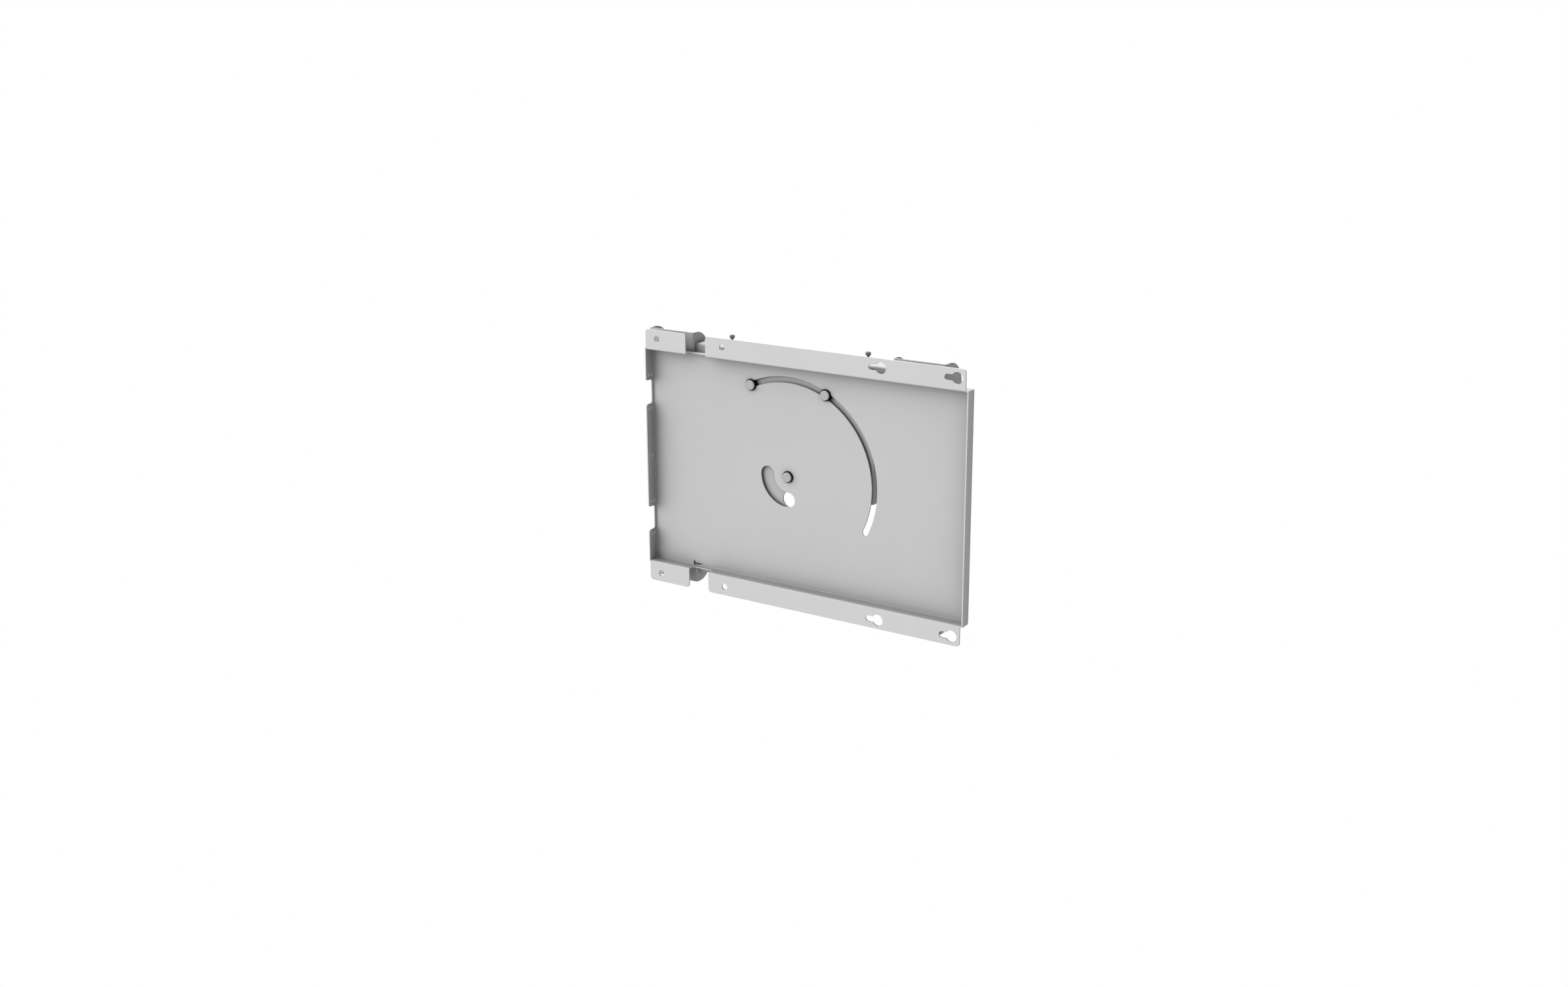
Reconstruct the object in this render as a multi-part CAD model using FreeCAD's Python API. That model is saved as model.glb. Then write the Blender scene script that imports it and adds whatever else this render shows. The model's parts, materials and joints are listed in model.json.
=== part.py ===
import FreeCAD, Part

import math
import os

# A swivelling wall mount for a large display: two rails bolted to the wall, a welded frame that
# hangs on them, and a shallow tray that carries the display and turns a quarter turn on the frame.
#
# Millimetres. +X right as seen from the room, +Y into the wall, +Z up. The wall is the plane
# Y = 0, and the origin is where the swivel axis meets the wall.

# Depths, all from the room towards the wall
MOUNT_DEPTH = 76.0            # front of the tray's lips to the wall
TRAY_DEPTH = 21.0             # front of the lips to the back of the tray
TRAY_GAP = 3.0                # back of the tray to the fronts of the uprights
BEAM_SET_BACK = 5.5           # fronts of the uprights to the fronts of the beams
TRAY_SHEET = 2.0
FRAME_SHEET = 2.5
TRAY_BEND = 1.0               # inside radius of the tray's bends
FRAME_BEND = 1.0              # inside radius of the frame's bends

# Tray, seen from the room
TRAY_LEFT = 265.0             # swivel axis to the outside of the left wall
TRAY_RIGHT = 323.0            # swivel axis to the outside of the right wall
LIP_HEIGHT = 32.0             # each lip, outwards from its wall
LIP_CORNER = 5.0
CORNER_SEAM = 0.4             # open joint where two walls meet
EAR_LENGTH = 80.0             # short lip at the left end
LIP_GAP = 38.7                # between the ear and the long lip
LIP_GAP_DEPTH = 12.0          # how far the wall is cut back in that gap
LIP_END_GAP = 2.7             # end of the long lip to the right wall
EDGE_CORNER = 4.0             # rounding where a cut-back wall steps

# Holes for the display in the lips
HOLE_ROW = 400.0              # between the upper and lower rows
ROW_OVER_WALL = 17.5          # a row of holes, outwards from the outside of its wall
HOLE_PITCH = 128.0            # along a row
DISPLAY_PATTERN = 400.0       # a round hole to the slot end of its keyhole
FIRST_HOLE = 240.0            # swivel axis to the outermost round hole, leftwards
ROUND_HOLE = 10.3
KEY_ENTRY = 18.5
KEY_SLOT = 10.0
KEY_TRAVEL = 16.0

# Cut-outs in the left wall and near the gap in the lips
SIDE_NOTCH = 40.0
SIDE_NOTCH_PLACE = 108.0      # from the middle of the wall
SIDE_NOTCH_DEPTH = 15.5
TIE_SLOT_LENGTH = 6.0
TIE_SLOT_WIDTH = 2.2
TIE_SLOT_FRONT = 6.0          # first slot of a pair, from the front edge
TIE_SLOT_STEP = 8.0           # first to second slot of a pair
TIE_PAIR_PLACES = (0.0, 79.3, 136.4)
TIE_HOLE = 2.2                # the square ones beside the lower gap
TIE_HOLE_BESIDE_GAP = 7.4
WINDOW_WIDTH = 18.6           # the slit in the floor behind the lower gap
WINDOW_HEIGHT = 5.0
WINDOW_SLOPE = 1.8            # rise of its lower edge to the right
WINDOW_PEAK = 8.0             # height of its left end
WINDOW_PEAK_WIDTH = 3.4
WINDOW_PEAK_CORNER = 2.4
WINDOW_CORNER = 0.8
WINDOW_PAST_EAR = 14.6

# Swivel
ARC_TO_WALL = 25.0            # middle of the arc slot to the outside of the upper wall
ARC_WIDTH = 10.0
GUIDE_ANGLE = 26.0            # each guide pin, from straight above the swivel axis
TURN = 90.0
CABLE_RADIUS = 38.5
CABLE_SLOT = 25.0
CABLE_HOLE = 26.0
CABLE_ANGLE = 270.0           # cable slot's end in the first position, round from +X

# Uprights
UPRIGHT_INNER = 183.8
UPRIGHT_WIDTH = 89.5
UPRIGHT_PAST_BEAM = 17.5      # ends of the uprights beyond the beams
OUTER_END_RADIUS = 38.0
INNER_END_RADIUS = 30.0
INNER_FLANGE_GAP = 13.0       # inner flange to the wall, where the rails pass

# Beams
GUIDE_TO_BEAM = 10.44         # guide pin to the near edge of the beam above it
BEAM_WEB = 42.5
BEAM_FLANGE = 28.5

# Base plate
PLATE_HALF_WIDTH = 152.8
PLATE_SIDE_BOTTOM = -23.3
PLATE_SIDE_GAP = 21.0         # top of the side flanges to the joggle
PLATE_SIDE_FLANGE = 18.0
JOGGLE_BELOW_BEAM = 30.5      # start of the joggle, down from the top of the beam
JOGGLE_LENGTH = 6.0
PLATE_BELOW_BEAM = 4.5        # end of the plate, down from the top of the beam
TONGUE_HALF_WIDTH = 60.0
PLATE_CORNER = 8.0

# Wall rails
RAIL_END_GAP = 8.8            # end of a rail to the outer flange of an upright
SIDE_PLAY = 7.8               # end of a trough to the inner flange of an upright
TROUGH_GAP = 3.0              # inside of a beam to the front of the rail's lip
RAIL_LIP = 17.0
RAIL_ABOVE_SHELF = 34.5
RAIL_BELOW_SHELF = 37.5
RAIL_RELIEF = 2.0
WALL_SLOT_WIDTH = 9.0
WALL_SLOT_LENGTH = 20.0
WALL_SLOT_PAST_TROUGH = 27.2
WALL_SLOT_BELOW_SHELF = 3.5

# Hook bar
HOOK_SHORTER = 8.0            # than the trough, at each end
HOOK_CLEARANCE = 0.5
HOOK_ABOVE_SHELF = 7.0
HOOK_TOP_LEG = 6.5

# Levelling and securing screws
JACK_FROM_TROUGH_END = 50.0
JACK_BEHIND_BEAM = 18.0       # axis of a screw to the inside of the beam
JACK_LENGTH = 50.0
JACK_HEAD_GAP = 11.0
JACK_THREAD = 5.0
JACK_HEAD = 8.5
JACK_HEAD_HEIGHT = 5.0
JACK_SOCKET = 4.0
JACK_SOCKET_DEPTH = 2.5
JACK_NUT_FLATS = 8.0
JACK_NUT_HEIGHT = 4.0

# Swivel and guide pins
PIN_HEAD = 15.7
PIN_HEAD_HEIGHT = 2.9
PIN_HEAD_CHAMFER = 0.5
FLANGE_DIAMETER = 18.8
FLANGE_THICKNESS = 2.0
PIVOT_SHANK = 10.0
PIVOT_SLEEVE = 14.0
GUIDE_SHANK = 6.0
GUIDE_SLIP = 0.1              # sleeve in the arc slot, each side
GLIDE_DISC = 44.0
RUNNING = 0.05                # radial clearance of a shaft in its hole
PASSING = 0.3                 # radial clearance of a screw in a plain hole
WASHER_DIAMETER = 23.0
WASHER_THICKNESS = 2.0
PIVOT_NUT_FLATS = 17.0
PIVOT_NUT_HEIGHT = 8.0
GUIDE_NUT_FLATS = 10.0
GUIDE_NUT_HEIGHT = 6.0
THREAD_END = 0.8              # thread showing past a nut

PAST = 1.0                    # how far a cutter runs past the faces that it cuts
SAME_POINT = 0.000001         # closer points are taken as one

# Worked out from the sizes above
lip_front = -MOUNT_DEPTH
tray_back = lip_front + TRAY_DEPTH
tray_floor = tray_back - TRAY_SHEET
frame_front = tray_back + TRAY_GAP
frame_inside = frame_front + FRAME_SHEET
beam_front = frame_front + BEAM_SET_BACK
beam_inside = beam_front + FRAME_SHEET
band_front = beam_front - FRAME_SHEET
wall_top = HOLE_ROW / 2 - ROW_OVER_WALL
lip_top = wall_top + LIP_HEIGHT
ear_end = -TRAY_LEFT + TRAY_SHEET + EAR_LENGTH
long_lip_start = ear_end + LIP_GAP
long_lip_end = TRAY_RIGHT - TRAY_SHEET - LIP_END_GAP
gap_edge = lip_front + LIP_GAP_DEPTH
arc_radius = wall_top - ARC_TO_WALL
guide_x = arc_radius * math.sin(math.radians(GUIDE_ANGLE))
guide_z = arc_radius * math.cos(math.radians(GUIDE_ANGLE))
beam_top = guide_z + GUIDE_TO_BEAM + BEAM_WEB
beam_underside = beam_top - FRAME_SHEET
upright_end = beam_top + UPRIGHT_PAST_BEAM
upright_outer = UPRIGHT_INNER + UPRIGHT_WIDTH
plate_end = beam_top - PLATE_BELOW_BEAM
plate_joggle = beam_top - JOGGLE_BELOW_BEAM
plate_side_top = plate_joggle - PLATE_SIDE_GAP
trough_end = UPRIGHT_INNER - SIDE_PLAY
rail_end = upright_outer - FRAME_SHEET - RAIL_END_GAP
jack_x = trough_end - JACK_FROM_TROUGH_END
jack_y = beam_inside + JACK_BEHIND_BEAM
jack_head_seat = beam_top + JACK_HEAD_GAP
shelf_top = jack_head_seat - JACK_LENGTH
trough_front = beam_inside + TROUGH_GAP
hook_front = trough_front + FRAME_SHEET + HOOK_CLEARANCE
head_seat = tray_floor - FLANGE_THICKNESS

TO_ROOM = FreeCAD.Vector(0, -1, 0)
TO_WALL = FreeCAD.Vector(0, 1, 0)
UP = FreeCAD.Vector(0, 0, 1)
DOWN = FreeCAD.Vector(0, 0, -1)


def rounded_outline(points, radii, place):
    """A closed wire through 2-D points, each corner rounded by its radius, put in space by place."""
    count = len(points)
    stations = []
    for i in range(count):
        before = FreeCAD.Vector(*points[i - 1], 0)
        corner = FreeCAD.Vector(*points[i], 0)
        after = FreeCAD.Vector(*points[(i + 1) % count], 0)
        if radii[i] <= 0:
            stations.append((corner, None, corner))
            continue
        to_before = (before - corner).normalize()
        to_after = (after - corner).normalize()
        half = to_before.getAngle(to_after) / 2
        reach = radii[i] / math.tan(half)
        middle = (to_before + to_after).normalize()
        centre = corner + middle * (radii[i] / math.sin(half))
        stations.append((corner + to_before * reach, centre - middle * radii[i], corner + to_after * reach))
    edges = []
    for i in range(count):
        start, through, end = [place(p.x, p.y) if p is not None else None for p in stations[i]]
        if through is not None:
            edges.append(Part.Arc(start, through, end).toShape())
        following = place(stations[(i + 1) % count][0].x, stations[(i + 1) % count][0].y)
        if (following - end).Length > SAME_POINT:
            edges.append(Part.makeLine(end, following))
    return Part.Wire(edges)


def plate(points, radius, y_front, y_back):
    """A flat plate facing the room, from its outline in X and Z."""
    radii = radius if isinstance(radius, list) else [radius] * len(points)
    wire = rounded_outline(points, radii, lambda x, z: FreeCAD.Vector(x, y_front, z))
    return Part.Face(wire).extrude(FreeCAD.Vector(0, y_back - y_front, 0))


def along_x(points, radii, x_start, x_end):
    """A bar along X, from its section in Y and Z."""
    wire = rounded_outline(points, radii, lambda y, z: FreeCAD.Vector(x_start, y, z))
    return Part.Face(wire).extrude(FreeCAD.Vector(x_end - x_start, 0, 0))


def along_z(points, radii, z_start, z_end):
    """A bar along Z, from its section in X and Y."""
    wire = rounded_outline(points, radii, lambda x, y: FreeCAD.Vector(x, y, z_start))
    return Part.Face(wire).extrude(FreeCAD.Vector(0, 0, z_end - z_start))


def bent_sheet(face, thickness, inside_radius):
    """The section of a bent sheet: face is one side of it, and the sheet lies to its left."""
    steps = []
    for start, end in zip(face, face[1:]):
        steps.append(FreeCAD.Vector(end[0] - start[0], end[1] - start[1], 0).normalize())
    normals = [FreeCAD.Vector(-step.y, step.x, 0) for step in steps]
    other = [FreeCAD.Vector(*face[0], 0) + normals[0] * thickness]
    face_radii = [0.0]
    other_radii = [0.0]
    for i in range(1, len(steps)):
        first = normals[i - 1]
        second = normals[i]
        offset = (first + second) * (thickness / (1 + first.dot(second)))
        other.append(FreeCAD.Vector(*face[i], 0) + offset)
        turns_left = steps[i - 1].cross(steps[i]).z > 0
        face_radii.append(inside_radius + thickness if turns_left else inside_radius)
        other_radii.append(inside_radius if turns_left else inside_radius + thickness)
    other.append(FreeCAD.Vector(*face[-1], 0) + normals[-1] * thickness)
    points = list(face) + [(p.x, p.y) for p in reversed(other)]
    radii = face_radii + [0.0, 0.0] + list(reversed(other_radii))
    return points, radii


def mirrored(shape):
    """The same piece on the other side of the swivel axis, left for right."""
    return shape.mirror(FreeCAD.Vector(0, 0, 0), FreeCAD.Vector(1, 0, 0))


def upside_down(shape):
    """The same piece below the swivel axis, mirrored top to bottom."""
    return shape.mirror(FreeCAD.Vector(0, 0, 0), FreeCAD.Vector(0, 0, 1))


def turned(section, centre, axis):
    """A turned piece, from its half section in radius and distance along the axis."""
    wire = Part.makePolygon([FreeCAD.Vector(r, 0, h) for r, h in section + [section[0]]])
    solid = Part.Face(wire).revolve(FreeCAD.Vector(0, 0, 0), FreeCAD.Vector(0, 0, 1), 360)
    solid.Placement = FreeCAD.Placement(centre, FreeCAD.Rotation(FreeCAD.Vector(0, 0, 1), axis))
    return solid


def ring(outer, inner, start, end, centre, axis):
    """A plain washer or sleeve between two distances along its axis."""
    section = [(inner / 2, start), (outer / 2, start), (outer / 2, end), (inner / 2, end)]
    return turned(section, centre, axis)


def hexagon(flats, start, end, centre, axis):
    """A six-sided bar with two of its corners along X."""
    corner = flats / math.sqrt(3)
    points = []
    for i in range(7):
        angle = math.radians(60 * i)
        points.append(FreeCAD.Vector(corner * math.cos(angle), corner * math.sin(angle), start))
    solid = Part.Face(Part.makePolygon(points)).extrude(FreeCAD.Vector(0, 0, end - start))
    solid.Placement = FreeCAD.Placement(centre, FreeCAD.Rotation(FreeCAD.Vector(0, 0, 1), axis))
    return solid


def nut(flats, height, thread, centre, axis):
    """A hexagon nut that stands on centre."""
    body = hexagon(flats, 0, height, centre, axis)
    return body.cut(ring(thread + 2 * RUNNING, 0, -PAST, height + PAST, centre, axis))


def jack_screw(x):
    """A socket screw through the upper beam whose tip stands on the upper rail's shelf."""
    seat = FreeCAD.Vector(x, jack_y, jack_head_seat)
    section = [
        (0, -JACK_LENGTH),
        (JACK_THREAD / 2, -JACK_LENGTH),
        (JACK_THREAD / 2, 0),
        (JACK_HEAD / 2, 0),
        (JACK_HEAD / 2, JACK_HEAD_HEIGHT),
        (0, JACK_HEAD_HEIGHT),
    ]
    socket = hexagon(JACK_SOCKET, JACK_HEAD_HEIGHT - JACK_SOCKET_DEPTH, JACK_HEAD_HEIGHT + PAST, seat, UP)
    return turned(section, seat, UP).cut(socket)


def drilled(x, z, diameter, y_front, y_back):
    """The round cutter for a hole that runs towards the wall."""
    return Part.makeCylinder(diameter / 2, y_back - y_front, FreeCAD.Vector(x, y_front, z), TO_WALL)


def obround(x_start, x_end, z, width, y_front, y_back):
    """The cutter for a slot along X, from the centre of one round end to the other."""
    half = width / 2
    corners = [(x_start, z - half), (x_end, z - half), (x_end, z + half), (x_start, z + half)]
    low_start, low_end, high_end, high_start = [FreeCAD.Vector(x, y_front, v) for x, v in corners]
    edges = [
        Part.makeLine(low_start, low_end),
        Part.Arc(low_end, FreeCAD.Vector(x_end + half, y_front, z), high_end).toShape(),
        Part.makeLine(high_end, high_start),
        Part.Arc(high_start, FreeCAD.Vector(x_start - half, y_front, z), low_start).toShape(),
    ]
    return Part.Face(Part.Wire(edges)).extrude(FreeCAD.Vector(0, y_back - y_front, 0))


def curved_slot(radius, width, start, end, y_front, y_back):
    """The cutter for a slot along a circle about the swivel axis, with round ends."""
    def at(distance, angle):
        turn = math.radians(angle)
        return FreeCAD.Vector(distance * math.cos(turn), y_front, distance * math.sin(turn))

    def past(angle, side):
        turn = math.radians(angle)
        along = FreeCAD.Vector(-math.sin(turn), 0, math.cos(turn)) * (side * width / 2)
        return at(radius, angle) + along

    outer = radius + width / 2
    inner = radius - width / 2
    middle = (start + end) / 2
    edges = [
        Part.Arc(at(outer, start), at(outer, middle), at(outer, end)).toShape(),
        Part.Arc(at(outer, end), past(end, 1), at(inner, end)).toShape(),
        Part.Arc(at(inner, end), at(inner, middle), at(inner, start)).toShape(),
        Part.Arc(at(inner, start), past(start, -1), at(outer, start)).toShape(),
    ]
    return Part.Face(Part.Wire(edges)).extrude(FreeCAD.Vector(0, y_back - y_front, 0))


def corner_trim(corner, inwards, radius, place, depth):
    """The sliver that rounds a corner: inwards gives the two directions back into the piece."""
    u, v = corner
    du, dv = inwards
    slant = radius * (1 - math.sqrt(0.5))
    start = place(u, v + dv * radius)
    through = place(u + du * slant, v + dv * slant)
    end = place(u + du * radius, v)
    outside = place(u - du, v - dv)
    edges = [
        Part.Arc(start, through, end).toShape(),
        Part.makeLine(end, place(u + du * radius, v - dv)),
        Part.makeLine(place(u + du * radius, v - dv), outside),
        Part.makeLine(outside, place(u - du, v + dv * radius)),
        Part.makeLine(place(u - du, v + dv * radius), start),
    ]
    return Part.Face(Part.Wire(edges)).extrude(depth)


def both(shape):
    """A list of the shape and its mirror image below the swivel axis."""
    return [shape, upside_down(shape)]


def tray_lip(x_start, x_end):
    """One upper lip with the front of its wall, bent from one sheet."""
    wall_inside = wall_top - TRAY_SHEET
    face = [(lip_front, lip_top), (lip_front, wall_inside), (gap_edge + EDGE_CORNER, wall_inside)]
    points, radii = bent_sheet(face, TRAY_SHEET, TRAY_BEND)
    lip = along_x(points, radii, x_start, x_end)
    depth = FreeCAD.Vector(0, TRAY_SHEET + 2 * PAST, 0)

    def on_lip(x, z):
        return FreeCAD.Vector(x, lip_front - PAST, z)

    for x, inwards in ((x_start, 1), (x_end, -1)):
        lip = lip.cut(corner_trim((x, lip_top), (inwards, -1), LIP_CORNER, on_lip, depth))
    return lip


def tray_blank():
    """The bent tray before its holes are cut: floor, four walls and four lips."""
    wall_inside = wall_top - TRAY_SHEET
    left_inside = -TRAY_LEFT + TRAY_SHEET
    right_inside = TRAY_RIGHT - TRAY_SHEET
    flat = wall_inside - TRAY_BEND
    bend_start = tray_floor - TRAY_BEND

    face = [
        (gap_edge, wall_inside),
        (tray_floor, wall_inside),
        (tray_floor, -wall_inside),
        (gap_edge, -wall_inside),
    ]
    points, radii = bent_sheet(face, TRAY_SHEET, TRAY_BEND)
    blank = along_x(points, radii, left_inside + CORNER_SEAM, right_inside - CORNER_SEAM)

    face = [
        (left_inside, lip_front),
        (left_inside, tray_floor),
        (right_inside, tray_floor),
        (right_inside, lip_front),
    ]
    points, radii = bent_sheet(face, TRAY_SHEET, TRAY_BEND)
    pieces = [along_z(points, radii, -flat, flat)]

    wall = (TRAY_SHEET, bend_start - lip_front, 2 * wall_top)
    for x in (-TRAY_LEFT, right_inside):
        pieces.append(Part.makeBox(*wall, FreeCAD.Vector(x, lip_front, -wall_top)))

    wall_front = lip_front + TRAY_SHEET + TRAY_BEND
    behind_gap = (LIP_GAP, gap_edge - wall_front, TRAY_SHEET)
    pieces += both(Part.makeBox(*behind_gap, FreeCAD.Vector(ear_end, wall_front, wall_inside)))
    end_length = LIP_END_GAP - CORNER_SEAM
    past_lip = (end_length, gap_edge - lip_front, TRAY_SHEET)
    pieces += both(Part.makeBox(*past_lip, FreeCAD.Vector(long_lip_end, lip_front, wall_inside)))
    pieces += both(tray_lip(left_inside, ear_end))
    pieces += both(tray_lip(long_lip_start, long_lip_end))
    return blank.fuse(pieces)


def lip_holes():
    """Cutters for the round holes and keyholes in the upper and lower lips."""
    depths = (lip_front - PAST, lip_front + TRAY_SHEET + PAST)
    cutters = []
    for place in (-FIRST_HOLE, -FIRST_HOLE + HOLE_PITCH):
        slot_end = place + DISPLAY_PATTERN
        entry = slot_end + KEY_TRAVEL
        cutters += both(drilled(place, HOLE_ROW / 2, ROUND_HOLE, *depths))
        keyhole = drilled(entry, HOLE_ROW / 2, KEY_ENTRY, *depths)
        cutters += both(keyhole.fuse(obround(slot_end, entry, HOLE_ROW / 2, KEY_SLOT, *depths)))
    return cutters


def side_wall_cuts():
    """Cutters for the cable notches and tie slots in the left wall."""
    x_start = -TRAY_LEFT - PAST
    x_end = -TRAY_LEFT + TRAY_SHEET + PAST
    floor = lip_front + SIDE_NOTCH_DEPTH
    low = SIDE_NOTCH_PLACE - SIDE_NOTCH / 2
    high = SIDE_NOTCH_PLACE + SIDE_NOTCH / 2
    outline = [(lip_front - PAST, low), (floor, low), (floor, high), (lip_front - PAST, high)]
    cutters = both(along_x(outline, [0, EDGE_CORNER, EDGE_CORNER, 0], x_start, x_end))
    depth = FreeCAD.Vector(x_end - x_start, 0, 0)

    def on_wall(y, z):
        return FreeCAD.Vector(x_start, y, z)

    for z, inwards in ((low, -1), (high, 1)):
        cutters += both(corner_trim((lip_front, z), (1, inwards), EDGE_CORNER, on_wall, depth))
    for place in TIE_PAIR_PLACES:
        for step in (0, TIE_SLOT_STEP):
            y = lip_front + TIE_SLOT_FRONT + step - TIE_SLOT_WIDTH / 2
            corner = FreeCAD.Vector(x_start, y, place - TIE_SLOT_LENGTH / 2)
            slot = Part.makeBox(x_end - x_start, TIE_SLOT_WIDTH, TIE_SLOT_LENGTH, corner)
            cutters += both(slot) if place > 0 else [slot]
    return cutters


def lip_gap_cuts():
    """Cutters for the rounded step in the walls at the gap, and for the tie holes beside the lower one."""
    z_start = wall_top - TRAY_SHEET - PAST
    z_end = wall_top + PAST
    outline = [
        (ear_end, lip_front - PAST),
        (ear_end, gap_edge),
        (long_lip_start, gap_edge),
        (long_lip_start, lip_front - PAST),
    ]
    cutters = both(along_z(outline, [0, EDGE_CORNER, EDGE_CORNER, 0], z_start, z_end))
    for x in (ear_end - TIE_HOLE_BESIDE_GAP, long_lip_start + TIE_HOLE_BESIDE_GAP):
        for step in (0, TIE_SLOT_STEP):
            y = lip_front + TIE_SLOT_FRONT + step - TIE_HOLE
            corner = FreeCAD.Vector(x - TIE_HOLE / 2, y, -z_end)
            cutters.append(Part.makeBox(TIE_HOLE, TIE_HOLE, z_end - z_start, corner))
    return cutters


def floor_window():
    """The cutter for the slit in the floor behind the lower gap, higher at its left end."""
    end = ear_end + WINDOW_PAST_EAR
    start = end - WINDOW_WIDTH
    low = TRAY_SHEET - wall_top
    peak_end = start + WINDOW_PEAK_WIDTH
    outline = [
        (start, low),
        (end, low + WINDOW_SLOPE),
        (end, low + WINDOW_HEIGHT),
        (peak_end, low + WINDOW_HEIGHT),
        (peak_end, low + WINDOW_PEAK),
        (start, low + WINDOW_PEAK),
    ]
    corner = WINDOW_CORNER
    radii = [0, corner, corner, corner, corner, WINDOW_PEAK_CORNER]
    return plate(outline, radii, tray_floor - TRAY_BEND, tray_back + PAST)


def swivel_tray():
    """The sheet-metal tray that carries the display, with its arc slot and cable slot."""
    floor = (tray_floor - PAST, tray_back + PAST)
    arc_end = 90 + GUIDE_ANGLE
    arc_start = 90 - GUIDE_ANGLE - TURN
    cutters = lip_holes() + side_wall_cuts() + lip_gap_cuts()
    cutters.append(floor_window())
    cutters.append(curved_slot(arc_radius, ARC_WIDTH, arc_start, arc_end, *floor))
    cutters.append(curved_slot(CABLE_RADIUS, CABLE_SLOT, CABLE_ANGLE - TURN, CABLE_ANGLE, *floor))
    cutters.append(drilled(0, 0, PIVOT_SLEEVE + 2 * RUNNING, *floor))
    return tray_blank().cut(cutters).removeSplitter()


def right_upright():
    """One channel of the frame: its outer flange stands on the wall, its inner one stops short."""
    face = [
        (UPRIGHT_INNER, -INNER_FLANGE_GAP),
        (UPRIGHT_INNER, frame_front),
        (upright_outer, frame_front),
        (upright_outer, 0),
    ]
    points, radii = bent_sheet(face, FRAME_SHEET, FRAME_BEND)
    channel = along_z(points, radii, -upright_end, upright_end)
    depth = FreeCAD.Vector(FRAME_SHEET + 2 * PAST, 0, 0)
    ends = (
        (UPRIGHT_INNER - PAST, -INNER_FLANGE_GAP, INNER_END_RADIUS),
        (upright_outer - FRAME_SHEET - PAST, 0, OUTER_END_RADIUS),
    )
    for x, back, radius in ends:
        def on_flange(y, z, x=x):
            return FreeCAD.Vector(x, y, z)

        for side in (1, -1):
            corner = (back, side * upright_end)
            channel = channel.cut(corner_trim(corner, (-1, -side), radius, on_flange, depth))
    return channel


def upper_beam():
    """The angle between the uprights, drilled for the jack screws through its flange."""
    face = [(beam_front + BEAM_FLANGE, beam_top), (beam_front, beam_top), (beam_front, beam_top - BEAM_WEB)]
    points, radii = bent_sheet(face, FRAME_SHEET, FRAME_BEND)
    beam = along_x(points, radii, -UPRIGHT_INNER, UPRIGHT_INNER)
    for x in (-jack_x, jack_x):
        base = FreeCAD.Vector(x, jack_y, beam_underside - PAST)
        beam = beam.cut(Part.makeCylinder(JACK_THREAD / 2 + PASSING, FRAME_SHEET + 2 * PAST, base, UP))
    return beam


def hook_bar():
    """The angle under the upper beam whose leg hangs behind the lip of the upper rail."""
    back = hook_front + FRAME_SHEET
    leg_end = shelf_top + HOOK_ABOVE_SHELF
    face = [(back - HOOK_TOP_LEG, beam_underside), (back, beam_underside), (back, leg_end)]
    points, radii = bent_sheet(face[::-1], FRAME_SHEET, FRAME_BEND)
    hook_end = trough_end - HOOK_SHORTER
    return along_x(points, radii, -hook_end, hook_end)


def wall_rail():
    """The upper rail: a web on the wall that bends out into a shelf and up into a lip."""
    shelf_under = shelf_top - FRAME_SHEET
    web_top = shelf_top + RAIL_ABOVE_SHELF
    web_bottom = shelf_top - RAIL_BELOW_SHELF
    relief_top = shelf_top + FRAME_BEND + RAIL_RELIEF
    relief_x = trough_end + RAIL_RELIEF
    face = [(trough_front, shelf_top + RAIL_LIP), (trough_front, shelf_under), (0, shelf_under), (0, web_top)]
    points, radii = bent_sheet(face, FRAME_SHEET, FRAME_BEND)
    trough = along_x(points, radii, -trough_end, trough_end)
    outline = [
        (-rail_end, web_bottom),
        (-relief_x, web_bottom),
        (-relief_x, relief_top),
        (relief_x, relief_top),
        (relief_x, web_bottom),
        (rail_end, web_bottom),
        (rail_end, web_top),
        (-rail_end, web_top),
    ]
    web = plate(outline, 0, -FRAME_SHEET, 0)
    rail = trough.fuse(web)
    reach = (WALL_SLOT_LENGTH - WALL_SLOT_WIDTH) / 2
    slot_z = shelf_top - WALL_SLOT_BELOW_SHELF
    slot_x = trough_end + WALL_SLOT_PAST_TROUGH
    for x in (-slot_x, slot_x):
        rail = rail.cut(obround(x - reach, x + reach, slot_z, WALL_SLOT_WIDTH, -FRAME_SHEET - PAST, PAST))
    return rail.removeSplitter()


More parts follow.
